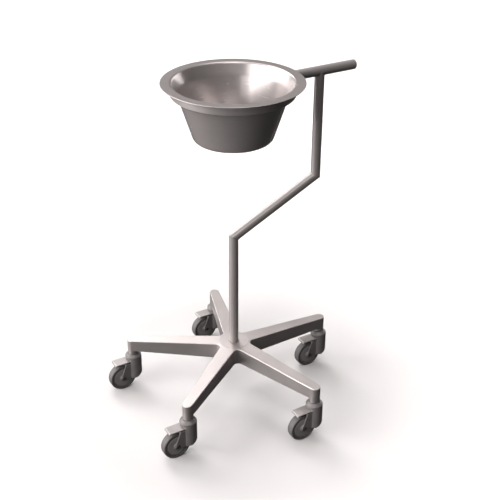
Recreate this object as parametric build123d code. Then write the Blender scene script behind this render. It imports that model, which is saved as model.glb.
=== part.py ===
from build123d import *
from math import atan2, cos, pi, radians, sin
import os

# A wheeled bowl stand. A steel bowl hangs by its flange in a flat-bar ring, the ring is welded to
# a handle tube, and a cranked post carries both from a five-arm base on five braked castors.
#
# Frame: origin on the floor under the hub and the bowl, which share one vertical axis. +Z is up,
# +X runs along the crank and the handle and over arm 1. Every castor trails towards -X at rest.
# Lengths are in millimetres.

os.makedirs("parts", exist_ok=True)

# ---- Driving dimensions: base -------------------------------------------------------------------
ARM_COUNT = 5
CASTOR_CIRCLE_R = 280.0  # hub axis to castor axis
HUB_TOP_Z = 163.6
HUB_FLAT_R = 39.0  # the level disc that the post stands on
ARM_ROOT_TOP_Z = 163.0  # the arm tops fall from here ...
ARM_TIP_TOP_Z = 150.0  # ... to here, over the castor axis
ARM_BOTTOM_Z = 118.0
ARM_TIP_HALF = 13.75
ARM_ROOT_HALF = 22.3  # where the taper would meet the hub axis
CROTCH_R = 13.0
TOP_EDGE_R = 2.0
BOSS_BOTTOM_Z = 106.0
BOSS_EDGE = 0.8  # chamfer at the foot of each boss
POCKET_WALL = 5.0
POCKET_ROOF = 6.0
POCKET_START = 62.0
POCKET_END = 252.0

# ---- Driving dimensions: post, ring and handle --------------------------------------------------
TUBE_R = 12.5
TUBE_BORE_R = 10.5
CRANK_LOW_Z = 481.5
CRANK_HIGH_Z = 600.4
CRANK_REACH = 245.8  # how far the post steps sideways
HANDLE_Z = 881.5
HANDLE_END_X = 351.0
END_CAP_LENGTH = 5.0
END_CAP_EDGE_R = 3.0
END_CAP_SPIGOT = 14.0
RING_OUTER_R = 149.5
RING_THICKNESS = 3.0
RING_TOP_Z = 892.2
RING_BOTTOM_Z = 868.2

# ---- Driving dimensions: bowl -------------------------------------------------------------------
RIM_R = 172.0
RIM_Z = 895.8
SHEET = 1.5
BOWL_BOTTOM_Z = 752.3
BOWL_KNEE_R = 96.2  # where the wall and the floor would meet, outside
BOWL_SHOULDER = (133.5, 868.0)  # radius and height where the wall starts to flare, outside
BOWL_NECK_R = 147.3  # where the flare and the flange would meet, outside
FLOOR_CORNER_R = 14.0
SHOULDER_BLEND_R = 60.0
NECK_BEND_R = 4.5

# ---- Driving dimensions: castors ----------------------------------------------------------------
WHEEL_R = 37.5
TRAIL = 37.0
TYRE_HALF = 10.5
RIM_WHEEL_R = 30.0
AXLE_R = 4.0
RUNNING_GAP = 0.05
HOUSING_R = 22.0
HOUSING_TOP_Z = 104.0
HOUSING_SHOULDER_Z = 98.0
HOUSING_SHOULDER_R = 14.5
HOUSING_SHOULDER_BLEND_R = 2.5
HOUSING_EDGE_R = 1.2
HOUSING_FRONT_Z = 44.5  # the underside rises to here at the front, clear of the floor
HOUSING_MIDDLE_Z = 33.0
HOUSING_BACK_Z = 31.0
CHEEK_IN = 11.5
CHEEK_OUT = 15.0
LEG_END_R = 7.5
CROWN_Z = 80.5
CROWN_X = -27.0
CROWN_R = 3.0
WHEEL_CLEARANCE = 2.0
STEM_R = 5.5
STEM_TOP_Z = 142.0
STEM_HEAD_R = 8.0
STEM_HEAD_HEIGHT = 3.0
STEM_HEAD_TOP_Z = 91.7
HEAD_ROOM_LOW_Z = 83.0
HEAD_ROOM_HIGH_Z = 92.0
HEAD_ROOM_GAP = 1.5
RACE_BELOW = 0.2  # between the housing and the race
RACE_WIDTH = 6.5
AXLE_HEAD_R = 6.0
AXLE_HEAD = 1.2
PEDAL_TOP_Z = 87.0
PEDAL_THICKNESS = 3.0
PEDAL_HALF = 15.0
PEDAL_TIP_X = -59.5
PEDAL_LIP_Z = 81.0
PEDAL_LIP_THICKNESS = 2.5
PEDAL_CORNER_R = 3.0
PEDAL_SIDE_GAP = 0.4
PEDAL_SLOT_FRONT_X = -8.6
PEDAL_SLOT_TOP_Z = 89.6
PIVOT_X = -13.0
PIVOT_Z = 85.5
PIVOT_EYE_R = 3.4
PIVOT_PIN_R = 1.5
PIVOT_PIN_HALF = 17.0
SHOE_X = (-29.0, -21.0)
SHOE_HALF = 5.0
SHOE_WINDOW_GAP = 2.0  # each way round the shoe, where it passes down through the crown
SHOE_WINDOW_SIDE_GAP = 1.5
SHOE_TYRE_GAP = 2.4

# Wheel centre: radius and half width from the axle boss, over the flat face, down a bevel to the tyre seat.
WHEEL_BOSS = (9.0, 11.2)
WHEEL_FACE_IN = (10.0, 9.6)
WHEEL_FACE_OUT = (25.0, 9.6)
WHEEL_BEVEL_FOOT = (28.0, 7.4)
TYRE_SHOULDER_R = 3.0

# ---- Driving dimensions: hub fastening ----------------------------------------------------------
HUB_BOLT_R = 6.0  # M12
COUNTERBORE_R = 15.0
COUNTERBORE_TOP_Z = 142.0
WASHER_THICKNESS = 2.5
BOLT_HEAD_ACROSS_FLATS = 18.0
BOLT_HEAD_HEIGHT = 7.5
POST_PLUG_LENGTH = 34.0
BOLT_TIP_Z = 188.0
BOLT_HOLE_GAP = 0.5
WASHER_HOLE_GAP = 0.3
WASHER_EDGE_GAP = 2.5

UP = (Align.CENTER, Align.CENTER, Align.MIN)
HOUSING_DEPTH = 60.0  # larger than any castor piece is wide, for cutting through
ARM_ANGLES = [360.0 / ARM_COUNT * number for number in range(ARM_COUNT)]


def rod(radius, low, high):
    """A vertical cylinder between two heights."""
    return Pos(0, 0, low) * Cylinder(radius, high - low, align=UP)


def cross_rod(radius, x, z, half):
    """A cylinder along Y through (x, z), as far as half each side."""
    return Pos(x, 0, z) * Rot(90, 0, 0) * Cylinder(radius, 2 * half)


def side_plate(sketch, half):
    """A sketch drawn in X and Z, made half thick each side of the XZ plane."""
    return extrude(Plane.XZ * sketch, amount=half, both=True)


def block(low, high):
    """A box from its lowest corner to its highest."""
    size = [b - a for a, b in zip(low, high)]
    return Pos(*low) * Box(*size, align=(Align.MIN, Align.MIN, Align.MIN))


def turned(points):
    """A solid turned about Z from a closed outline of (radius, height) points."""
    return revolve(Plane.XZ * make_face(Polyline(*points, close=True)), Axis.Z)


def from_axis(point):
    """Distance of a point from the Z axis."""
    return Vector(point.X, point.Y).length


# ---- Base ---------------------------------------------------------------------------------------
def arm_half_width(distance):
    taper = (ARM_ROOT_HALF - ARM_TIP_HALF) / CASTOR_CIRCLE_R
    return ARM_ROOT_HALF - taper * distance


def arm_plan(start, end, inset):
    """Plan of one arm along +X, its sides drawn in by inset."""
    near, far = arm_half_width(start) - inset, arm_half_width(end) - inset
    return make_face(Polyline((start, -near), (end, -far), (end, far), (start, near), close=True))


def top_cone(drop):
    """Everything under the arm tops, which lie on one shallow cone, lowered by drop."""
    slope = (ARM_ROOT_TOP_Z - ARM_TIP_TOP_Z) / (CASTOR_CIRCLE_R - HUB_FLAT_R)
    reach = CASTOR_CIRCLE_R + 2 * ARM_TIP_HALF
    edge = ARM_ROOT_TOP_Z - slope * (reach - HUB_FLAT_R) - drop
    return turned([
        (0, ARM_BOTTOM_Z), (reach, ARM_BOTTOM_Z), (reach, edge),
        (HUB_FLAT_R, ARM_ROOT_TOP_Z - drop), (HUB_FLAT_R, HUB_TOP_Z - drop), (0, HUB_TOP_Z - drop),
    ])


def star_base():
    plan = Sketch()
    for angle in ARM_ANGLES:
        arm = arm_plan(0, CASTOR_CIRCLE_R, 0) + Pos(CASTOR_CIRCLE_R, 0) * Circle(ARM_TIP_HALF)
        plan += Rot(0, 0, angle) * arm
    crotches = [v for v in plan.vertices() if from_axis(v) < CASTOR_CIRCLE_R / 2]
    plan = fillet(crotches, CROTCH_R)
    height = HUB_TOP_Z - ARM_BOTTOM_Z
    base = extrude(Pos(0, 0, ARM_BOTTOM_Z) * plan, amount=height) & top_cone(0)
    rims = [
        edge for edge in base.edges()
        if edge.center().Z > ARM_TIP_TOP_Z - 3 and from_axis(edge.center()) > HUB_FLAT_R + 2
    ]
    base = fillet(rims, TOP_EDGE_R)
    for angle in ARM_ANGLES:
        arm_end = Rot(0, 0, angle) * Pos(CASTOR_CIRCLE_R, 0)
        boss = rod(ARM_TIP_HALF, BOSS_BOTTOM_Z, ARM_BOTTOM_Z + POCKET_WALL)
        base += arm_end * chamfer(boss.edges().group_by(Axis.Z)[0], BOSS_EDGE)
        pocket = extrude(
            Pos(0, 0, ARM_BOTTOM_Z) * arm_plan(POCKET_START, POCKET_END, POCKET_WALL), amount=height
        )
        base -= Rot(0, 0, angle) * pocket & top_cone(POCKET_ROOF)
        base -= arm_end * rod(STEM_R, BOSS_BOTTOM_Z, STEM_TOP_Z)
    base -= rod(COUNTERBORE_R, ARM_BOTTOM_Z, COUNTERBORE_TOP_Z)
    base -= rod(HUB_BOLT_R + BOLT_HOLE_GAP, ARM_BOTTOM_Z, HUB_TOP_Z)
    return base


# ---- Hub fastening ------------------------------------------------------------------------------
def hub_washer():
    low = COUNTERBORE_TOP_Z - WASHER_THICKNESS
    disc = rod(COUNTERBORE_R - WASHER_EDGE_GAP, low, COUNTERBORE_TOP_Z)
    return disc - rod(HUB_BOLT_R + WASHER_HOLE_GAP, low, COUNTERBORE_TOP_Z)


def hub_bolt():
    head_top = COUNTERBORE_TOP_Z - WASHER_THICKNESS
    hexagon = RegularPolygon(BOLT_HEAD_ACROSS_FLATS / 2, 6, major_radius=False)
    head = extrude(Pos(0, 0, head_top - BOLT_HEAD_HEIGHT) * hexagon, amount=BOLT_HEAD_HEIGHT)
    return head + rod(HUB_BOLT_R, head_top, BOLT_TIP_Z)


def post_plug():
    """The tapped slug welded inside the foot of the post."""
    top = HUB_TOP_Z + POST_PLUG_LENGTH
    return rod(TUBE_BORE_R, HUB_TOP_Z, top) - rod(HUB_BOLT_R, HUB_TOP_Z, top)


# ---- Post ---------------------------------------------------------------------------------------
KINK_LOW = Vector(0, 0, CRANK_LOW_Z)
KINK_HIGH = Vector(CRANK_REACH, 0, CRANK_HIGH_Z)
LINK_DIRECTION = (KINK_HIGH - KINK_LOW).normalized()
MITRE_NORMAL = (LINK_DIRECTION + Vector(0, 0, 1)).normalized()
LOW_MITRE = Plane(origin=KINK_LOW, z_dir=MITRE_NORMAL)
HIGH_MITRE = Plane(origin=KINK_HIGH, z_dir=MITRE_NORMAL)


def tube(start, direction, length):
    """A round tube from a point, along a direction."""
    place = Plane(origin=start, z_dir=direction)
    ring = Circle(TUBE_R) - Circle(TUBE_BORE_R)
    return extrude(place * ring, amount=length)


def post_lower():
    up = Vector(0, 0, 1)
    whole = tube(Vector(0, 0, HUB_TOP_Z), up, CRANK_LOW_Z - HUB_TOP_Z + 2 * TUBE_R)
    return split(whole, bisect_by=LOW_MITRE, keep=Keep.BOTTOM)


def post_link():
    run = (KINK_HIGH - KINK_LOW).length
    start = KINK_LOW - LINK_DIRECTION * 2 * TUBE_R
    whole = tube(start, LINK_DIRECTION, run + 4 * TUBE_R)
    upper_part = split(whole, bisect_by=LOW_MITRE, keep=Keep.TOP)
    return split(upper_part, bisect_by=HIGH_MITRE, keep=Keep.BOTTOM)


def post_upper():
    """The top length, its end coped to fit round the underside of the handle."""
    up = Vector(0, 0, 1)
    start = KINK_HIGH - up * 2 * TUBE_R
    whole = tube(start, up, HANDLE_Z - start.Z)
    handle_space = Pos(CRANK_REACH, 0, HANDLE_Z) * Rot(0, 90, 0) * Cylinder(TUBE_R, 6 * TUBE_R)
    return split(whole, bisect_by=HIGH_MITRE, keep=Keep.TOP) - handle_space


# ---- Ring and handle ----------------------------------------------------------------------------
def bowl_ring():
    inner = RING_OUTER_R - RING_THICKNESS
    ring = rod(RING_OUTER_R, RING_BOTTOM_Z, RING_TOP_Z) - rod(inner, RING_BOTTOM_Z, RING_TOP_Z)
    return chamfer(ring.edges().filter_by(GeomType.CIRCLE), 0.6)


def handle_tube():
    """From a saddle cut on the ring's outside to the end cap."""
    start = RING_OUTER_R - 2 * TUBE_R
    length = HANDLE_END_X - END_CAP_LENGTH - start
    whole = tube(Vector(start, 0, HANDLE_Z), Vector(1, 0, 0), length)
    return whole - rod(RING_OUTER_R, RING_BOTTOM_Z - TUBE_R, RING_TOP_Z + TUBE_R)


def handle_end_cap():
    at_end = Pos(HANDLE_END_X - END_CAP_LENGTH, 0, HANDLE_Z) * Rot(0, 90, 0)
    disc = at_end * rod(TUBE_R, 0, END_CAP_LENGTH)
    disc = fillet(disc.edges().group_by(Axis.X)[-1], END_CAP_EDGE_R)
    return disc + at_end * rod(TUBE_BORE_R, -END_CAP_SPIGOT, 0)


# ---- Bowl ---------------------------------------------------------------------------------------
def offset_corner(before, corner, after, inward):
    """Where two lines that meet at corner cross once both are moved to their left by inward."""
    turn_in = atan2(corner[1] - before[1], corner[0] - before[0])
    turn_out = atan2(after[1] - corner[1], after[0] - corner[0])
    middle = (turn_in + turn_out) / 2 + pi / 2
    reach = inward / cos((turn_out - turn_in) / 2)
    return corner[0] + reach * cos(middle), corner[1] + reach * sin(middle)


def bowl():
    """Sheet bowl: flat floor, tapered wall, a flare at the top and a flat flange."""
    floor_centre, knee = (0, BOWL_BOTTOM_Z), (BOWL_KNEE_R, BOWL_BOTTOM_Z)
    neck, edge = (BOWL_NECK_R, RIM_Z - SHEET), (RIM_R, RIM_Z - SHEET)
    outside = [floor_centre, knee, BOWL_SHOULDER, neck, edge]
    inside = [(0, BOWL_BOTTOM_Z + SHEET)]
    inside += [offset_corner(*outside[i - 1:i + 2], SHEET) for i in (1, 2, 3)]
    inside += [(RIM_R, RIM_Z)]
    outer_radii = [FLOOR_CORNER_R, SHOULDER_BLEND_R, NECK_BEND_R]
    inner_radii = [FLOOR_CORNER_R - SHEET, SHOULDER_BLEND_R + SHEET, NECK_BEND_R + SHEET]
    section = make_face(Polyline(*outside, *reversed(inside), close=True))
    for corner, radius in zip(outside[1:4] + inside[1:4], outer_radii + inner_radii):
        section = fillet([nearest(section.vertices(), corner)], radius)
    return revolve(Plane.XZ * section, Axis.Z)


def nearest(vertices, point):
    return min(vertices, key=lambda v: (v.X - point[0]) ** 2 + (v.Y - point[1]) ** 2)


# ---- Castors, drawn about their own swivel axis with the wheel towards -X -----------------------
def castor_stem():
    head_low = STEM_HEAD_TOP_Z - STEM_HEAD_HEIGHT
    return rod(STEM_R, STEM_HEAD_TOP_Z, STEM_TOP_Z) + rod(STEM_HEAD_R, head_low, STEM_HEAD_TOP_Z)


def castor_race():
    """The thrust ring between the boss and the housing."""
    low = HOUSING_TOP_Z + RACE_BELOW
    return rod(STEM_R + RACE_WIDTH, low, BOSS_BOTTOM_Z) - rod(STEM_R, low, BOSS_BOTTOM_Z)


def housing_barrel():
    """The round part of the housing, with a sloping shoulder and an underside that rises to the front."""
    barrel = rod(HOUSING_R, HOUSING_BACK_Z - 1, HOUSING_TOP_Z)
    barrel = chamfer(
        barrel.edges().group_by(Axis.Z)[-1], length=HOUSING_R - HOUSING_SHOULDER_R,
        length2=HOUSING_TOP_Z - HOUSING_SHOULDER_Z, reference=barrel.faces().sort_by(Axis.Z)[-1],
    )
    shoulder = barrel.edges().filter_by(GeomType.CIRCLE).group_by(SortBy.RADIUS)[-1].sort_by(Axis.Z)[-1]
    barrel = fillet([shoulder], HOUSING_SHOULDER_BLEND_R)
    reach = HOUSING_R + 1
    side_view = make_face(Polyline(
        (reach, HOUSING_TOP_Z), (reach, HOUSING_FRONT_Z), (0, HOUSING_MIDDLE_Z), (-reach, HOUSING_BACK_Z),
        (-reach, HOUSING_TOP_Z), close=True,
    ))
    barrel = barrel & side_plate(side_view, HOUSING_DEPTH)
    underside = [e for e in barrel.edges() if e.center().Z < HOUSING_FRONT_Z and from_axis(e.center()) > 1]
    return fillet(underside, HOUSING_EDGE_R)


def housing_leg():
    """Both fork cheeks in one plate, from the crown down to a round end at the axle."""
    outline = make_hull(
        (Pos(-TRAIL, WHEEL_R) * Circle(LEG_END_R)).edges()
        + (Pos(CROWN_X, CROWN_Z - CROWN_R) * Circle(CROWN_R)).edges()
        + Line((-2, HOUSING_MIDDLE_Z), (-2, CROWN_Z)).edges()
    )
    plate = side_plate(outline, CHEEK_OUT)
    rims = [e for e in plate.edges() if abs(e.center().Y) > CHEEK_OUT - 1 and e.center().X < -3]
    return fillet(rims, HOUSING_EDGE_R)


def castor_housing():
    """A round swivel housing that grows a fork over the wheel."""
    housing = housing_barrel() + housing_leg()
    housing -= cross_rod(WHEEL_R + WHEEL_CLEARANCE, -TRAIL, WHEEL_R, CHEEK_IN)
    window_half = SHOE_HALF + SHOE_WINDOW_SIDE_GAP
    window_x = (SHOE_X[0] - SHOE_WINDOW_GAP, SHOE_X[1] + SHOE_WINDOW_GAP)
    housing -= block((window_x[0], -window_half, WHEEL_R), (window_x[1], window_half, CROWN_Z + 2))
    slot_half = PEDAL_HALF + PEDAL_SIDE_GAP
    slot_low = (-HOUSING_R - 8, -slot_half, CROWN_Z)
    housing -= block(slot_low, (PEDAL_SLOT_FRONT_X, slot_half, PEDAL_SLOT_TOP_Z))
    housing -= rod(STEM_HEAD_R + HEAD_ROOM_GAP, HEAD_ROOM_LOW_Z, HEAD_ROOM_HIGH_Z)
    housing -= rod(STEM_R + RUNNING_GAP, HEAD_ROOM_LOW_Z, HOUSING_TOP_Z)
    housing -= cross_rod(AXLE_R, -TRAIL, WHEEL_R, HOUSING_DEPTH)
    housing -= cross_rod(PIVOT_PIN_R, PIVOT_X, PIVOT_Z, PIVOT_PIN_HALF)
    return housing


def castor_rim():
    """Wheel centre: a flat disc with an axle boss, bevelled down to a groove beside the tyre."""
    bore = AXLE_R + RUNNING_GAP
    section = [
        (bore, WHEEL_BOSS[1]), WHEEL_BOSS, WHEEL_FACE_IN, WHEEL_FACE_OUT, WHEEL_BEVEL_FOOT,
        (RIM_WHEEL_R, WHEEL_BEVEL_FOOT[1]),
    ]
    near = [(radius, -across) for radius, across in section]
    far = list(reversed(section))
    return Pos(-TRAIL, 0, WHEEL_R) * Rot(90, 0, 0) * turned(near + far)


def castor_tyre():
    tread = fillet(rod(WHEEL_R, -TYRE_HALF, TYRE_HALF).edges().filter_by(GeomType.CIRCLE), TYRE_SHOULDER_R)
    return Pos(-TRAIL, 0, WHEEL_R) * Rot(90, 0, 0) * (tread - rod(RIM_WHEEL_R, -TYRE_HALF, TYRE_HALF))


def castor_axle():
    pin = cross_rod(AXLE_R, -TRAIL, WHEEL_R, CHEEK_OUT)
    for side in (-1, 1):
        middle = side * (CHEEK_OUT + AXLE_HEAD / 2)
        pin += Pos(0, middle, 0) * cross_rod(AXLE_HEAD_R, -TRAIL, WHEEL_R, AXLE_HEAD / 2)
    return pin


def brake_pedal():
    """A flat tread plate with a turned-down lip and a hinge eye."""
    low = PEDAL_TOP_Z - PEDAL_THICKNESS
    lip_x = PEDAL_TIP_X + PEDAL_LIP_THICKNESS
    outline = make_face(Polyline(
        (PIVOT_X, PEDAL_TOP_Z), (PEDAL_TIP_X, PEDAL_TOP_Z), (PEDAL_TIP_X, PEDAL_LIP_Z),
        (lip_x, PEDAL_LIP_Z), (lip_x, low), (PIVOT_X, low), close=True,
    ))
    outline = fillet([nearest(outline.vertices(), (PEDAL_TIP_X, PEDAL_TOP_Z))], PEDAL_CORNER_R)
    eye = Pos(PIVOT_X, PIVOT_Z) * Circle(PIVOT_EYE_R)
    hole = cross_rod(PIVOT_PIN_R + RUNNING_GAP, PIVOT_X, PIVOT_Z, HOUSING_DEPTH)
    return side_plate(outline + eye, PEDAL_HALF) - hole


def pedal_pin():
    return cross_rod(PIVOT_PIN_R, PIVOT_X, PIVOT_Z, PIVOT_PIN_HALF)


def brake_shoe():
    """The block under the pedal that bears on the tyre when the pedal is pressed."""
    top = PEDAL_TOP_Z - PEDAL_THICKNESS
    blank = block((SHOE_X[0], -SHOE_HALF, WHEEL_R), (SHOE_X[1], SHOE_HALF, top))
    return blank - cross_rod(WHEEL_R + SHOE_TYRE_GAP, -TRAIL, WHEEL_R, HOUSING_DEPTH)


STAND_PIECES = [
    star_base, hub_washer, hub_bolt, post_plug, post_lower, post_link, post_upper,
    bowl_ring, handle_tube, handle_end_cap, bowl,
]
CASTOR_PIECES = [
    castor_stem, castor_race, castor_housing, castor_rim, castor_tyre, castor_axle,
    brake_pedal, pedal_pin, brake_shoe,
]

for piece in STAND_PIECES:
    export_step(piece(), f"parts/{piece.__name__}.step")
for piece in CASTOR_PIECES:
    solid = piece()
    for number, angle in enumerate(ARM_ANGLES, start=1):
        x, y = CASTOR_CIRCLE_R * cos(radians(angle)), CASTOR_CIRCLE_R * sin(radians(angle))
        export_step(Pos(x, y, 0) * solid, f"parts/{piece.__name__}_{number}.step")
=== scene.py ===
# %% [markdown]
# # A wheeled bowl stand
# A steel bowl hangs by its flange in a ring. The ring is welded to a handle tube, and a cranked post
# carries both from a cast base with five arms on braked castors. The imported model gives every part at
# its real size, so this lesson only adds what a maker would call the finish: rolled and rounded edges,
# weld beads, and the surface of each metal, plastic and rubber.

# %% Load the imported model
import math

import bmesh
import bpy
import numpy as np
from mathutils import Matrix, Vector


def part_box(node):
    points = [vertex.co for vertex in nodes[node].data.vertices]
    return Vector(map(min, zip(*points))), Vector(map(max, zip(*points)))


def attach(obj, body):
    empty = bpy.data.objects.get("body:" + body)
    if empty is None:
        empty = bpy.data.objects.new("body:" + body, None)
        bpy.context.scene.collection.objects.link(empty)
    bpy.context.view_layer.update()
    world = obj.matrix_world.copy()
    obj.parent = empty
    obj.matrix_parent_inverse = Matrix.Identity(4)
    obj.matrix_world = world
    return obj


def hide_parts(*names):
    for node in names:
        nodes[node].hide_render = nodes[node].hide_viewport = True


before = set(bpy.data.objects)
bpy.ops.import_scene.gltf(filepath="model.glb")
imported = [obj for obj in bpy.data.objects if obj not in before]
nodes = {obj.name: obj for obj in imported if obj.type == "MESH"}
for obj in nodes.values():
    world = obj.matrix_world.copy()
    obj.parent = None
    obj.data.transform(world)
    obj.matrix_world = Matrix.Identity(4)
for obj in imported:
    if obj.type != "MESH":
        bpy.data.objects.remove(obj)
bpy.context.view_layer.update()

# %% [markdown]
# ## Places come from the parts
# A part's box gives the axis of a tube, the centre of a wheel or the height of a rim, and every new
# piece starts from those numbers. What a box can't give, such as the bowl's section or the heights at
# which the post bends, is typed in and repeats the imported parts. Lengths are in metres, so a value typed
# in millimetres is multiplied by MM.

# %% Measure the parts
MM = 0.001
CASTORS = sorted(int(name.rsplit("_", 1)[1]) for name in nodes if name.startswith("castor_stem_"))


def box(node):
    """Lowest and highest corner of a part as two arrays."""
    low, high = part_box(node)
    return np.array(low), np.array(high)


def middle(node):
    """Centre of a part's box."""
    low, high = box(node)
    return (low + high) / 2


bowl_low, bowl_high = box("bowl")
RIM_R, RIM_Z, BOWL_BOTTOM_Z = bowl_high[0], bowl_high[2], bowl_low[2]
ring_low, ring_high = box("bowl_ring")
post_low, post_high = box("post_lower")
TUBE_R = post_high[0]
HUB_TOP_Z = post_low[2]
HANDLE_Z = middle("handle_tube")[2]
CRANK_X = middle("post_upper")[0]
print("bowl rim radius", round(RIM_R, 4), "tube radius", round(TUBE_R, 4))
print("handle height", round(HANDLE_Z, 4))

# %% [markdown]
# ## Surfaces from two parameters
# Most of the pieces are turned on a lathe, rolled or pressed, so each is a grid of points: one
# parameter runs along a section, the other runs round an axis or along a path. The grid is worked out
# as one array and handed to the mesh in one go. Where a section ends on the axis its points fall
# together, and merging them closes the pole.

# %% Grid, section and lathe
ROUND = 2 * math.pi


def surface(name, grid, close_rows=False, close_columns=True):
    """Mesh object from a (rows, columns, 3) grid: each cell of four neighbours becomes one face."""
    rows, columns, _ = grid.shape
    index = np.arange(rows * columns).reshape(rows, columns)
    if close_rows:
        index = np.vstack([index, index[:1]])
    if close_columns:
        index = np.hstack([index, index[:, :1]])
    faces = np.stack([index[:-1, :-1], index[:-1, 1:], index[1:, 1:], index[1:, :-1]], -1).reshape(-1, 4)
    mesh = bpy.data.meshes.new(name)
    mesh.from_pydata(grid.reshape(-1, 3).tolist(), [], faces.tolist())
    shell = bmesh.new()
    shell.from_mesh(mesh)
    bmesh.ops.remove_doubles(shell, verts=shell.verts, dist=1e-7)
    bmesh.ops.recalc_face_normals(shell, faces=shell.faces)
    shell.to_mesh(mesh)
    shell.free()
    mesh.polygons.foreach_set("use_smooth", np.ones(len(mesh.polygons), bool))
    piece = bpy.data.objects.new(name, mesh)
    bpy.context.scene.collection.objects.link(piece)
    return piece


def rounded(corners, radii, steps=8):
    """Section through the corners, each turned into an arc of its own radius that both straights touch."""
    points = [np.array(corners[0], float)]
    for before, corner, after, radius in zip(corners, corners[1:], corners[2:], radii):
        before, corner, after = (np.array(point, float) for point in (before, corner, after))
        back = (before - corner) / np.linalg.norm(before - corner)
        on = (after - corner) / np.linalg.norm(after - corner)
        half = math.acos(np.clip(back @ on, -1, 1)) / 2
        if radius == 0 or abs(half - math.pi / 2) < 1e-4:
            points.append(corner)
            continue
        centre = corner + (back + on) / np.linalg.norm(back + on) * radius / math.sin(half)
        start = corner + back * radius / math.tan(half) - centre
        end = corner + on * radius / math.tan(half) - centre
        share = np.linspace(0, 1, steps + 1)[:, None]
        blend = start * (1 - share) + end * share
        points.extend(centre + blend / np.linalg.norm(blend, axis=1)[:, None] * radius)
    points.append(np.array(corners[-1], float))
    return np.array(points)


def evened(section, spacing):
    """The same section with further points, so that no straight stretch is longer than the spacing."""
    run = np.concatenate([[0], np.cumsum(np.linalg.norm(np.diff(section, axis=0), axis=1))])
    at = np.union1d(run, np.arange(0, run[-1], spacing))
    return np.stack([np.interp(at, run, section[:, axis]) for axis in range(section.shape[1])], -1)


def lathe(name, section, centre=(0, 0, 0), axis="Z", columns=96):
    """Turns a section of (radius, height) about an axis: the point is the radius times (cos, sin) of the
    angle across the axis, and the height along it."""
    angle = np.arange(columns) / columns * ROUND
    radius, height = section[:, :1], section[:, 1:]
    across, aside, along = radius * np.cos(angle), radius * np.sin(angle), height + 0 * angle
    order = {"X": (along, across, aside), "Y": (aside, along, across), "Z": (across, aside, along)}[axis]
    return surface(name, np.stack(order, -1) + np.array(centre))


# %% [markdown]
# ## The bowl
# The real bowl is spun from one disc of sheet: the disc is pressed against a turning form, so wall,
# floor and flange are all 1.5 mm thick and every corner is a soft bend. A box with cuts would leave hard
# corners, so the section is drawn as the sheet's outside and inside lines, joined by a round edge at the
# rim, and turned about the bowl's axis.

# %% Spun bowl
SHEET = 1.5 * MM
FLOOR_R = 96.2 * MM  # where the outsides of floor and wall would meet
SHOULDER = (133.5 * MM, 868.0 * MM)
NECK_R = 147.3 * MM
BEND_RADII = (14.0 * MM, 60.0 * MM, 4.5 * MM)  # floor corner, shoulder, neck


def beside(before, corner, after, thickness):
    """Corner of the line that runs on the left of a bent line, at the sheet's thickness from it."""
    turn_in = math.atan2(corner[1] - before[1], corner[0] - before[0])
    turn_out = math.atan2(after[1] - corner[1], after[0] - corner[0])
    side = (turn_in + turn_out) / 2 + math.pi / 2
    reach = thickness / math.cos((turn_out - turn_in) / 2)
    return corner[0] + reach * math.cos(side), corner[1] + reach * math.sin(side)


under_rim = RIM_Z - SHEET
outer_line = [
    (0, BOWL_BOTTOM_Z), (FLOOR_R, BOWL_BOTTOM_Z), SHOULDER, (NECK_R, under_rim), (RIM_R, under_rim),
]
inner_line = [beside(*outer_line[at - 1:at + 2], SHEET) for at in (1, 2, 3)]
inner_line = [(0, BOWL_BOTTOM_Z + SHEET), *inner_line, (RIM_R, RIM_Z)]
inner_radii = (BEND_RADII[0] - SHEET, BEND_RADII[1] + SHEET, BEND_RADII[2] + SHEET)
edge_round = SHEET * 0.48
bowl_line = outer_line + inner_line[::-1]
bowl_radii = [*BEND_RADII, edge_round, edge_round, *inner_radii[::-1]]
bowl_section = evened(rounded(bowl_line, bowl_radii), 4 * MM)
bowl_skin = lathe("bowl_skin", bowl_section, columns=256)
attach(bowl_skin, "bowl")
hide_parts("bowl")
print("bowl section has", len(bowl_section), "points")

# %% [markdown]
# ## The ring
# The ring is a flat bar, 24 by 3 mm, rolled to a hoop and butt welded. Rolled bar has soft corners, so
# its section is a rectangle with small arcs.

# %% Rolled ring
ring_edge = 0.9 * MM
ring_out = ring_high[0]
ring_in = ring_out - 3 * MM
ring_mid = (ring_low[2] + ring_high[2]) / 2
ring_line = [
    (ring_in, ring_mid), (ring_in, ring_low[2]), (ring_out, ring_low[2]), (ring_out, ring_high[2]),
    (ring_in, ring_high[2]), (ring_in, ring_mid),
]
ring_section = evened(rounded(ring_line, [ring_edge] * 4, 5), 4 * MM)
ring_band = lathe("ring_band", ring_section, columns=256)
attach(ring_band, "stand")
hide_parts("bowl_ring")

# %% [markdown]
# ## Weld beads
# Post, crank, handle and ring are TIG welded and lightly dressed. A bead is a small round section
# carried along the seam where two parts meet, and its size swells and shrinks a little with each drop
# of filler. Each seam has its own formula: a circle at the foot, a slanted ellipse at each mitre, and
# a saddle where a tube meets a tube or the ring.

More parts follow.
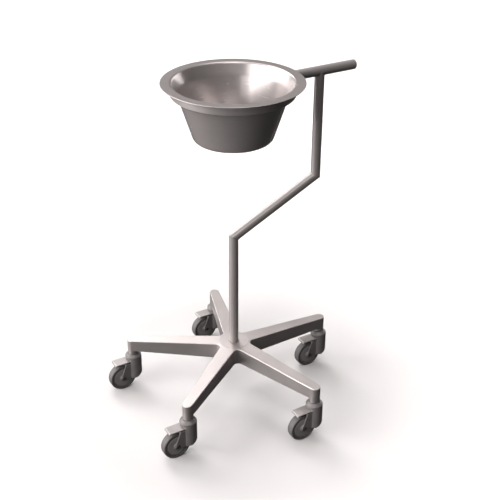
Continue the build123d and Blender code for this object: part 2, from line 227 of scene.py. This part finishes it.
# %% Bead along a seam
def bead(name, seam, radius, ripple=0.06, pitch=1.6 * MM, ring_points=12):
    """Carries a circle along a closed seam: point = seam + radius x (cos a x side + sin a x up), where
    side and up are square to the seam's direction and the radius ripples once every pitch."""
    ahead = np.roll(seam, -1, 0) - np.roll(seam, 1, 0)
    ahead /= np.linalg.norm(ahead, axis=1)[:, None]
    outwards = seam - seam.mean(0)
    side = np.cross(ahead, outwards)
    side /= np.linalg.norm(side, axis=1)[:, None]
    up = np.cross(side, ahead)
    run = np.cumsum(np.linalg.norm(seam - np.roll(seam, 1, 0), axis=1))
    drops = max(1, round(run[-1] / pitch))
    size = radius * (1 + ripple * np.cos(run / run[-1] * ROUND * drops))
    angle = np.arange(ring_points) / ring_points * ROUND
    circle = np.cos(angle)[:, None] * side[:, None] + np.sin(angle)[:, None] * up[:, None]
    piece = surface(name, seam[:, None] + circle * np.reshape(size, (-1, 1, 1)), close_rows=True)
    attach(piece, "stand")
    return piece


SEAM_POINTS = 192
turn = np.arange(SEAM_POINTS) / SEAM_POINTS * ROUND
round_x, round_y = TUBE_R * np.cos(turn), TUBE_R * np.sin(turn)
LOWER_POST_RUN = 317.9 * MM  # from the hub up to the first bend
CRANK_RISE = 118.9 * MM
FOOT_SPREAD = 1.04  # the bead at the foot lies just outside the tube
kink_low_z = HUB_TOP_Z + LOWER_POST_RUN
kink_high_z = kink_low_z + CRANK_RISE
link_run = np.array([CRANK_X, 0, kink_high_z - kink_low_z])
link_ahead = link_run / np.linalg.norm(link_run)
mitre = link_ahead + np.array([0, 0, 1])
foot_z = HUB_TOP_Z + 0.3 * MM + 0 * turn
foot_seam = np.stack([round_x * FOOT_SPREAD, round_y * FOOT_SPREAD, foot_z], -1)
low_seam = np.stack([round_x, round_y, kink_low_z - mitre[0] / mitre[2] * round_x], -1)
high_seam = np.stack([CRANK_X + round_x, round_y, kink_high_z - mitre[0] / mitre[2] * round_x], -1)
tee_seam = np.stack([CRANK_X + round_x, round_y, HANDLE_Z - np.abs(round_x)], -1)
ring_seam = np.stack([np.sqrt(ring_out**2 - round_x**2), round_x, HANDLE_Z + round_y], -1)
top_share = np.clip((ring_seam[:, 2] - HANDLE_Z) / TUBE_R, 0, 1)
weld_beads = [
    bead("weld_post_foot", foot_seam, 1.5 * MM),
    bead("weld_crank_low", low_seam, 0.55 * MM),
    bead("weld_crank_high", high_seam, 0.55 * MM),
    bead("weld_post_handle", tee_seam, 1.1 * MM),
    bead("weld_handle_ring", ring_seam - [0, 0, 0.6 * MM], (1.4 - 1.1 * top_share) * MM),
]
print(len(weld_beads), "weld beads")

# %% [markdown]
# ## Wheels
# Each castor has a grey rubber tyre on a moulded centre. Both are turned shapes. The tyre's tread is
# very slightly crowned and its shoulders are round; the centre has a boss for the axle, a flat face, and
# a bevel that falls to a groove beside the tyre.

# %% Tyres and wheel centres
def mirrored(half):
    """A section given on one side of the wheel's middle, with its mirror image added."""
    return np.array(list(half) + [(radius, -across) for radius, across in reversed(half)])


tyre_low, tyre_high = box("castor_tyre_1")
rim_low, rim_high = box("castor_rim_1")
WHEEL_R = (tyre_high[2] - tyre_low[2]) / 2
TYRE_HALF = (tyre_high[1] - tyre_low[1]) / 2
SEAT_R = (rim_high[2] - rim_low[2]) / 2
BOSS_HALF = (rim_high[1] - rim_low[1]) / 2
crown = 0.25 * MM
tyre_half_line = [
    (SEAT_R, 0), (SEAT_R, TYRE_HALF - 0.5 * MM), (SEAT_R + 0.6 * MM, TYRE_HALF - 0.5 * MM),
    (SEAT_R + 2.2 * MM, TYRE_HALF), (WHEEL_R - crown, TYRE_HALF), (WHEEL_R, 0),
]
tyre_half = rounded(tyre_half_line, (0.2 * MM, 0.3 * MM, 0.8 * MM, 3.2 * MM), 6)
tyre_section = evened(mirrored(tyre_half), 1.5 * MM)
FACE_HALF = 9.6 * MM  # half the centre's thickness over its flat face
GROOVE_HALF = 7.4 * MM  # and in the groove beside the tyre
centre_half_line = [
    (4.1 * MM, 0), (4.1 * MM, BOSS_HALF), (9.0 * MM, BOSS_HALF), (10.0 * MM, FACE_HALF),
    (25.0 * MM, FACE_HALF), (28.0 * MM, GROOVE_HALF), (SEAT_R, GROOVE_HALF), (SEAT_R, 0),
]
centre_half = rounded(centre_half_line, [v * MM for v in (0.3, 0.6, 0.4, 0.9, 0.7, 0.2)], 6)
centre_section = evened(mirrored(centre_half), 1.5 * MM)
tyres, wheel_centres = [], []
for number in CASTORS:
    axle = middle(f"castor_tyre_{number}")
    for kind, section, node, slot, made in (
        ("tyre", tyre_section, "castor_tyre", "grey_tyre", tyres),
        ("wheel_centre", centre_section, "castor_rim", "wheel_plastic", wheel_centres),
    ):
        piece = lathe(f"{kind}_{number}", section, centre=axle, axis="Y")
        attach(piece, f"wheel_{number}")
        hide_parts(f"{node}_{number}")
        made.append(piece)
print(len(tyres), "tyres of radius", round(WHEEL_R, 4))

# %% [markdown]
# ## Axles
# A castor's axle is a rivet: its ends are headed over the cheeks into low domes.

# %% Riveted axles
axle_low, axle_high = box("castor_axle_1")
AXLE_HALF = (axle_high[1] - axle_low[1]) / 2
HEAD_R = (axle_high[2] - axle_low[2]) / 2
head_foot = AXLE_HALF - 1.2 * MM
axle_half_line = [
    (4.0 * MM, 0), (4.0 * MM, head_foot), (HEAD_R, head_foot), (HEAD_R, head_foot + 0.35 * MM),
    (3.2 * MM, AXLE_HALF), (0, AXLE_HALF),
]
axle_half = rounded(axle_half_line, [v * MM for v in (0.0, 0.15, 0.3, 3.0)], 6)
axle_section = evened(mirrored(axle_half), 1.0 * MM)
axles = []
for number in CASTORS:
    axle = middle(f"castor_axle_{number}")
    piece = lathe(f"axle_rivet_{number}", axle_section, centre=axle, axis="Y", columns=40)
    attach(piece, f"castor_{number}")
    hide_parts(f"castor_axle_{number}")
    axles.append(piece)

# %% [markdown]
# ## Brake pedals
# The pedal is a pressed plate with a lip turned down at the toe end. Pressing leaves every edge round,
# so the plate's outline is carried across its width, and near each side it shrinks along a quarter
# circle. The two flat side faces then close it.

# %% Pressed pedals
def rounded_plate(name, outline, half, edge, steps=5):
    """Carries a closed (x, z) outline across y. Near each side the outline moves inwards by
    edge x (1 - cos t) while y moves on by edge x sin t, so the rim is a quarter circle."""
    ahead = np.roll(outline, -1, 0) - np.roll(outline, 1, 0)
    inward = np.stack([-ahead[:, 1], ahead[:, 0]], -1) / np.linalg.norm(ahead, axis=1)[:, None]
    area = np.sum(outline[:, 0] * np.roll(outline[:, 1], -1) - outline[:, 1] * np.roll(outline[:, 0], -1))
    inward *= np.sign(area)
    quarter = np.linspace(0, math.pi / 2, steps + 1)
    side = half - edge + edge * np.sin(quarter)
    inset = edge * (1 - np.cos(quarter))
    across = np.concatenate([-side[::-1], np.linspace(-half + edge, half - edge, 9)[1:-1], side])
    shrink = np.concatenate([inset[::-1], np.zeros(7), inset])
    flat = outline[None] + inward[None] * shrink[:, None, None]
    grid = np.stack([flat[..., 0], across[:, None] + 0 * flat[..., 0], flat[..., 1]], -1)
    piece = surface(name, grid)
    shell = bmesh.new()
    shell.from_mesh(piece.data)
    sides = bmesh.ops.holes_fill(shell, edges=[edge for edge in shell.edges if edge.is_boundary])["faces"]
    for face in sides:
        face.smooth = False
    bmesh.ops.recalc_face_normals(shell, faces=shell.faces)
    shell.to_mesh(piece.data)
    shell.free()
    return piece


pedal_low, pedal_high = box("brake_pedal_1")
pin_at = middle("pedal_pin_1")
TOP_Z = 87.0 * MM  # the flat of the plate; the hinge eye stands proud of it
PLATE = 3.0 * MM
LIP = 2.5 * MM
EYE_R = pedal_high[2] - pin_at[2]
eye_angle = np.linspace(-0.62 * math.pi, 0.86 * math.pi, 25)
eye_arc = np.stack([pin_at[0] + EYE_R * np.cos(eye_angle), pin_at[2] + EYE_R * np.sin(eye_angle)], -1)
plate_line = [
    eye_arc[-1], (eye_arc[-1][0] - 2 * MM, TOP_Z), (pedal_low[0], TOP_Z), (pedal_low[0], pedal_low[2]),
    (pedal_low[0] + LIP, pedal_low[2]), (pedal_low[0] + LIP, TOP_Z - PLATE),
    (eye_arc[0][0] - 1.5 * MM, TOP_Z - PLATE), eye_arc[0],
]
plate_arc = rounded(plate_line, [v * MM for v in (1.0, 3.0, 0.6, 0.6, 0.8, 0.5)], 6)
pedal_outline = np.vstack([evened(plate_arc, 2 * MM), eye_arc[1:-1]])
PEDAL_HALF = (pedal_high[1] - pedal_low[1]) / 2
stem_1 = middle("castor_stem_1")
pedals = []
for number in CASTORS:
    piece = rounded_plate(f"pedal_plate_{number}", pedal_outline, PEDAL_HALF, 0.7 * MM)
    shift = middle(f"castor_stem_{number}") - stem_1
    piece.data.transform(Matrix.Translation(shift))
    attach(piece, f"pedal_{number}")
    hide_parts(f"brake_pedal_{number}")
    pedals.append(piece)

# %% [markdown]
# ## Materials
# Each finish is a small node tree that reads Object coordinates, which are the model's own metres, so
# grain and specks have a real size. A helper adds a node and wires or sets its inputs, which keeps each
# finish to a few lines.

# %% Node helpers
def add(tree, kind, **inputs):
    """Adds a node. An input's name is given with underscores for spaces; a socket is wired, and any other
    value is set. Names that start with set_ are the node's own settings."""
    made = tree.nodes.new(kind)
    for key, value in inputs.items():
        if key.startswith("set_"):
            setattr(made, key[4:], value)
            continue
        at = int(key[1:]) if key[0] == "i" and key[1:].isdigit() else key.replace("_", " ")
        if isinstance(value, bpy.types.NodeSocket):
            tree.links.new(value, made.inputs[at])
        else:
            made.inputs[at].default_value = value
    return made


def new_finish(name, metallic, **sockets):
    """A material with one Principled shader, its constants set on the shader's own sockets."""
    finish = bpy.data.materials.new(name)
    finish.use_nodes = True
    tree = finish.node_tree
    shader = tree.nodes["Principled BSDF"]
    shader.inputs["Metallic"].default_value = metallic
    for key, value in sockets.items():
        shader.inputs[key.replace("_", " ")].default_value = value
    place = add(tree, "ShaderNodeTexCoord").outputs["Object"]
    return finish, tree, shader, place


def stretched(tree, place, scale, turn=(0, 0, 0)):
    """Coordinates turned and then scaled, for a pattern that is longer one way."""
    return add(tree, "ShaderNodeMapping", Vector=place, Rotation=turn, Scale=scale).outputs["Vector"]


def noise(tree, vector, scale, detail=3.0, roughness=0.5):
    """Grey noise between 0 and 1."""
    made = add(tree, "ShaderNodeTexNoise", Vector=vector, Scale=scale, Detail=detail, Roughness=roughness)
    return made.outputs["Fac"]


def between(tree, amount, low, high, from_low=0.3, from_high=0.7):
    """A number that runs from low to high as the amount runs over its range."""
    made = add(
        tree, "ShaderNodeMapRange", Value=amount,
        From_Min=from_low, From_Max=from_high, To_Min=low, To_Max=high,
    )
    return made.outputs["Result"]


def mixed(tree, amount, first, second):
    """Colour that goes from the first to the second."""
    made = add(tree, "ShaderNodeMix", set_data_type="RGBA", Factor=amount)
    for socket, value in ((made.inputs[6], first), (made.inputs[7], second)):
        if isinstance(value, bpy.types.NodeSocket):
            tree.links.new(value, socket)
        else:
            socket.default_value = value
    return made.outputs[2]


def warm(level, tint=(1.0, 0.90, 0.875)):
    """A warm grey: the level times the tint that all this object's finishes share."""
    return (level * tint[0], level * tint[1], level * tint[2], 1.0)


def bump(tree, shader, height, strength, distance):
    """Small relief from a height, straight into the shader's normal."""
    made = add(tree, "ShaderNodeBump", Height=height, Strength=strength, Distance=distance)
    tree.links.new(made.outputs["Normal"], shader.inputs["Normal"])


def wire(tree, shader, **sockets):
    """Wires outputs to the shader's inputs."""
    for key, value in sockets.items():
        tree.links.new(value, shader.inputs[key.replace("_", " ")])


# %% [markdown]
# ## Satin steel
# Satin steel is ground with a fine belt, so its scratches run one way: round the bowl, where it was
# spun, and along each tube. The scratches are noise stretched along their own direction. On the
# bowl and the ring they follow the distance from the axis and the height, so they become rings.

# %% Satin steel finishes
STEEL = 0.335


def satin_steel(name, direction, level=STEEL, metallic=0.35, shine=(0.28, 0.32)):
    """Ground steel. The direction is 'round' for rings about the upright axis, or an angle above the
    horizontal at which the scratches run in the X-Z plane."""
    finish, tree, shader, place = new_finish(name, metallic)
    if direction == "round":
        parts = add(tree, "ShaderNodeSeparateXYZ", Vector=place)
        flat = add(tree, "ShaderNodeCombineXYZ", X=parts.outputs["X"], Y=parts.outputs["Y"])
        reach = add(tree, "ShaderNodeVectorMath", set_operation="LENGTH", i0=flat.outputs[0])
        radius = reach.outputs["Value"]
        lined = add(tree, "ShaderNodeCombineXYZ", X=radius, Y=parts.outputs["Z"]).outputs[0]
        scratches = noise(tree, lined, 900.0, detail=4.0, roughness=0.65)
    else:
        lined = stretched(tree, place, (0.02, 1.0, 1.0), turn=(0, math.radians(direction), 0))
        scratches = noise(tree, lined, 1400.0, detail=4.0, roughness=0.65)
    clouds = noise(tree, place, 9.0, detail=4.0)
    smudges = noise(tree, place, 38.0, detail=5.0, roughness=0.6)
    tone = mixed(tree, between(tree, clouds, 0.0, 1.0), warm(level * 0.97), warm(level * 1.03))
    fine = mixed(tree, between(tree, scratches, 0.0, 0.35), tone, warm(level * 0.72))
    dull = add(tree, "ShaderNodeMath", set_operation="ADD", i0=between(tree, smudges, *shine))
    tree.links.new(between(tree, scratches, -0.02, 0.05), dull.inputs[1])
    wire(tree, shader, Base_Color=fine, Roughness=dull.outputs[0])
    bump(tree, shader, scratches, 0.10, 0.05 * MM)
    return finish


link_slope = math.degrees(math.atan2(link_run[2], link_run[0]))
spun_steel = satin_steel("spun_bowl_steel", "round", level=0.46, metallic=0.58, shine=(0.21, 0.24))
ring_steel = satin_steel("rolled_ring_steel", "round")
upright_steel = satin_steel("upright_tube_steel", 90.0)
link_steel = satin_steel("crank_tube_steel", link_slope)
handle_steel = satin_steel("handle_tube_steel", 0.0)
print("crank slopes at", round(link_slope, 1), "degrees")

# %% [markdown]
# A dressed weld is a little darker and duller than the tube, with patches of straw heat tint.

# %% Weld finish
def weld_finish():
    finish, tree, shader, place = new_finish("dressed_weld", 0.45)
    stain = noise(tree, place, 160.0, detail=3.0)
    grit = noise(tree, place, 900.0, detail=2.0)
    tint = mixed(tree, between(tree, stain, 0.0, 1.0), warm(0.24), (0.27, 0.22, 0.17, 1.0))
    wire(tree, shader, Base_Color=tint, Roughness=between(tree, stain, 0.36, 0.48))
    bump(tree, shader, grit, 0.2, 0.15 * MM)
    return finish


weld_steel = weld_finish()

# %% [markdown]
# ## Cast base
# The base is an aluminium casting, blasted with fine bead. Blasting leaves a tight orange-peel skin,
# and casting leaves faint clouds and specks in the tone.

# %% Cast aluminium finish
def cast_finish(level=0.46):
    finish, tree, shader, place = new_finish("blasted_cast_aluminium", 0.82)
    clouds = noise(tree, place, 14.0, detail=4.0)
    skin = noise(tree, place, 650.0, detail=3.0)
    specks = noise(tree, place, 240.0, detail=2.0)
    tone = mixed(tree, between(tree, clouds, 0.0, 1.0), warm(level * 0.95), warm(level * 1.05))
    speckled = mixed(tree, between(tree, specks, 0.0, 0.25, 0.62, 0.78), tone, warm(level * 0.75))
    wire(tree, shader, Base_Color=speckled, Roughness=between(tree, clouds, 0.39, 0.45))
    bump(tree, shader, skin, 0.12, 0.08 * MM)
    return finish


cast_aluminium = cast_finish()

# %% [markdown]
# ## Castor finishes
# The housing and the wheel centre are moulded nylon with a fine eroded texture. The tyre is grey
# rubber with paler scuffs all over it. The pedal is coated steel with faint darker scrapes.

# %% Moulded, rubber, plated and coated finishes
def moulded(name, level):
    finish, tree, shader, place = new_finish(name, 0.0)
    clouds = noise(tree, place, 45.0, detail=3.0)
    grain = noise(tree, place, 1500.0, detail=2.0)
    tone = mixed(tree, between(tree, clouds, 0.0, 1.0), warm(level * 0.9), warm(level * 1.1))
    dusty = mixed(tree, between(tree, grain, 0.0, 0.3), tone, warm(level * 1.35))
    wire(tree, shader, Base_Color=dusty, Roughness=between(tree, clouds, 0.38, 0.5))
    bump(tree, shader, grain, 0.25, 0.06 * MM)
    return finish


def rubber(name, level):
    """Matte rubber with scuffs a little paler than the rest."""
    finish, tree, shader, place = new_finish(name, 0.0)
    clouds = noise(tree, place, 60.0, detail=4.0)
    scuffs = noise(tree, stretched(tree, place, (1.0, 0.25, 1.0)), 420.0, detail=3.0)
    tone = mixed(tree, between(tree, clouds, 0.0, 1.0), warm(level * 0.9), warm(level * 1.1))
    scuffed = between(tree, scuffs, 0.0, 0.3, 0.45, 0.75)
    colour = mixed(tree, scuffed, tone, warm(level * 1.2))
    wire(tree, shader, Base_Color=colour, Roughness=between(tree, clouds, 0.55, 0.7))
    bump(tree, shader, scuffs, 0.25, 0.08 * MM)
    return finish


def plated(name, level=0.5):
    finish, tree, shader, place = new_finish(name, 0.9)
    clouds = noise(tree, place, 120.0, detail=3.0)
    tone = mixed(tree, between(tree, clouds, 0.0, 1.0), warm(level * 0.9), warm(level * 1.08))
    wire(tree, shader, Base_Color=tone, Roughness=between(tree, clouds, 0.25, 0.38))
    bump(tree, shader, clouds, 0.1, 0.1 * MM)
    return finish


def coated(name, level):
    finish, tree, shader, place = new_finish(name, 0.1, Coat_Weight=0.3, Coat_Roughness=0.2)
    clouds = noise(tree, place, 50.0, detail=3.0)
    peel = noise(tree, place, 500.0, detail=2.0)
    scrapes = noise(tree, stretched(tree, place, (0.1, 1.0, 1.0)), 700.0, detail=3.0)
    tone = mixed(tree, between(tree, clouds, 0.0, 1.0), warm(level * 0.95), warm(level * 1.05))
    worn = mixed(tree, between(tree, scrapes, 0.0, 0.3, 0.6, 0.75), tone, warm(level * 0.7))
    wire(tree, shader, Base_Color=worn, Roughness=between(tree, clouds, 0.3, 0.42))
    bump(tree, shader, peel, 0.12, 0.08 * MM)
    return finish


housing_plastic = moulded("moulded_housing", 0.135)
centre_plastic = moulded("moulded_wheel_centre", 0.22)
tyre_rubber = rubber("grey_tyre_rubber", 0.09)
shoe_rubber = rubber("brake_shoe_rubber", 0.03)
zinc = plated("zinc_plated_steel")
axle_zinc = plated("dull_axle_zinc", 0.22)
pedal_coating = coated("pedal_coating", 0.30)

# %% Give every part its finish
def give(piece, finish):
    piece.data.materials.clear()
    piece.data.materials.append(finish)


NODE_FINISHES = {
    "star_base": cast_aluminium, "hub_washer": zinc, "hub_bolt": zinc, "post_plug": zinc,
    "post_lower": upright_steel, "post_upper": upright_steel, "post_link": link_steel,
    "bowl_ring": ring_steel, "bowl": spun_steel,
    "handle_tube": handle_steel, "handle_end_cap": handle_steel,
    "castor_stem": zinc, "castor_race": zinc, "castor_axle": zinc, "pedal_pin": zinc,
    "castor_housing": housing_plastic, "castor_rim": centre_plastic, "castor_tyre": tyre_rubber,
    "brake_pedal": pedal_coating, "brake_shoe": shoe_rubber,
}
for name, node in nodes.items():
    kind = name if name in NODE_FINISHES else name.rsplit("_", 1)[0]
    give(node, NODE_FINISHES[kind])
for piece in weld_beads:
    give(piece, weld_steel)
for pieces, finish in (
    ([bowl_skin], spun_steel), ([ring_band], ring_steel), (tyres, tyre_rubber),
    (wheel_centres, centre_plastic), (axles, axle_zinc), (pedals, pedal_coating),
):
    for piece in pieces:
        give(piece, finish)

# %% [markdown]
# ## Floor, light and camera
# The stand is shown on a pale floor in front of a white studio wall. The floor takes the shadows
# but doesn't light the object, so the undersides stay dark. Round the stand the floor's colour is painted
# darker: painted shade that deepens the shadow under the base.

# %% Floor
FLOOR_TINT = (1, 0.955, 0.945)
PAINTED_SHADE_RING = (0.42, 0.95)  # painted shade: the floor is darker inside this ring round the stand and paler outside it, so it runs out to white


def floor_finish():
    finish, tree, shader, place = new_finish("pale_floor_painted_shade", 0.0, Roughness=0.9)
    clouds = noise(tree, place, 1.5, detail=2.0)
    reach = add(tree, "ShaderNodeVectorMath", set_operation="LENGTH", i0=place).outputs["Value"]
    painted_shade_near = mixed(tree, between(tree, clouds, 0.0, 1.0), warm(0.58, FLOOR_TINT), warm(0.59, FLOOR_TINT))
    # painted shade: the floor's colour is darker near the stand, deepening the shadow under the base, and
    # paler beyond the ring
    tone = mixed(tree, between(tree, reach, 0.0, 1.0, *PAINTED_SHADE_RING), painted_shade_near, warm(0.80, FLOOR_TINT))
    wire(tree, shader, Base_Color=tone)
    return finish


FLOOR_HALF = 30.0
floor_line = np.linspace(-FLOOR_HALF, FLOOR_HALF, 3)
floor_x, floor_y = np.meshgrid(floor_line, floor_line)
floor = surface("studio_floor", np.stack([floor_x, floor_y, 0 * floor_x], -1), close_columns=False)
if floor.data.polygons[0].normal.z < 0:
    floor.data.flip_normals()
give(floor, floor_finish())
floor.visible_diffuse = False
floor.visible_glossy = False
floor.visible_shadow = False

# %% [markdown]
# The wall is a dome that is white by itself, so a low view has a clean background too. It isn't seen in
# the steel and casts no light: the softboxes in the next step do nearly all the lighting.

# %% Studio wall
WALL_R = 29.0
wall_angle = np.radians(np.linspace(-3, 90, 32))
wall_line = np.stack([WALL_R * np.cos(wall_angle), WALL_R * np.sin(wall_angle)], -1)
wall = lathe("studio_wall", wall_line)
wall_paint, _, wall_shader, _ = new_finish(
    "pale_studio_wall", 0.0, Roughness=1.0, Emission_Strength=1.0
)
wall_shader.inputs["Base Color"].default_value = (0.0, 0.0, 0.0, 1.0)
wall_shader.inputs["Emission Color"].default_value = (1.0, 1.0, 1.0, 1.0)
give(wall, wall_paint)
for ray in ("visible_diffuse", "visible_glossy", "visible_transmission", "visible_shadow"):
    setattr(wall, ray, False)

# %% [markdown]
# The light comes from wide softboxes far away. Each is a sun lamp with a large angle, which gives soft
# edges and the same level everywhere. Most stand to the left, low and high, so the tops and the left
# faces are bright and the right faces stay dark. One at the back right lights the far side, and one
# shines up from below in place of light off the floor.

# %% Softboxes
VIEW_TURN = math.radians(30.87)  # the camera looks this far clockwise of +Y, seen from above
VIEW_FORWARD = Vector((math.sin(VIEW_TURN), math.cos(VIEW_TURN), 0))
VIEW_LEFT = Vector((-math.cos(VIEW_TURN), math.sin(VIEW_TURN), 0))


def softbox(name, left, above, strength, width=30):
    """A far softbox, as a sun lamp that covers a wide piece of the sky: left is its angle to the left of
    the view's forward direction, above its angle over the horizon, width its angle across, in degrees."""
    turned, raised = math.radians(left), math.radians(above)
    level = VIEW_FORWARD * math.cos(turned) + VIEW_LEFT * math.sin(turned)
    way = level * math.cos(raised) + Vector((0, 0, math.sin(raised)))
    light = bpy.data.lights.new(name, "SUN")
    light.energy = strength
    light.angle = math.radians(width)
    placed = bpy.data.objects.new(name, light)
    placed.rotation_mode = "QUATERNION"
    placed.rotation_quaternion = (-way).to_track_quat("-Z", "Y")
    bpy.context.scene.collection.objects.link(placed)
    return placed


AIR_STRENGTH = 0.035
SOFTBOXES = [
    ("low_left_box", 118, 12, 3.3, 52),
    ("low_back_left_box", 70, 10, 1.3, 42),
    ("low_front_left_box", 150, 10, 0.4),
    ("back_left_box", 30, 38, 1.85),
    ("left_box", 92, 36, 1.3),
    ("front_left_box", 132, 38, 0.65),
    ("front_overhead_box", 180, 64, 0.95),
    ("back_overhead_box", 0, 64, 1.0),
    ("front_right_overhead_box", 240, 64, 0.2),
    ("back_right_box", 318, 9, 0.85, 36),
    ("floor_bounce_box", 90, -18, 0.29),
]
for entry in SOFTBOXES:
    softbox(*entry)
world = bpy.data.worlds.new("studio_air")
bpy.context.scene.world = world
world.use_nodes = True
air = world.node_tree.nodes["Background"]
air.inputs["Color"].default_value = (1.0, 1.0, 1.0, 1.0)
air.inputs["Strength"].default_value = AIR_STRENGTH
bpy.context.scene.view_settings.view_transform = "Standard"
print(len(SOFTBOXES), "softboxes")

# %% [markdown]
# The camera stands well above the rim, on the side to which the castors trail, and looks down on the
# bowl with a lens a little longer than normal.

# %% Camera
CAMERA_AT = Vector((-1.0619, -1.8588, 1.6417))
CAMERA_DOWN = math.radians(29.2155)
CAMERA_ROLL = math.radians(0.407)
camera_data = bpy.data.cameras.new("view_camera")
camera_data.lens = 68.72
camera_data.sensor_width = 36.0
camera_data.clip_end = 200.0
camera = bpy.data.objects.new("view_camera", camera_data)
ahead = VIEW_FORWARD * math.cos(CAMERA_DOWN) - Vector((0, 0, math.sin(CAMERA_DOWN)))
level_up = (-VIEW_LEFT).cross(ahead)
rolled_right = -VIEW_LEFT * math.cos(CAMERA_ROLL) + level_up * math.sin(CAMERA_ROLL)
rolled_up = level_up * math.cos(CAMERA_ROLL) + VIEW_LEFT * math.sin(CAMERA_ROLL)
facing = Matrix((rolled_right, rolled_up, -ahead)).transposed().to_4x4()
camera.matrix_world = Matrix.Translation(CAMERA_AT) @ facing
bpy.context.scene.collection.objects.link(camera)
bpy.context.scene.camera = camera
print("camera height", round(camera.location.z, 3))
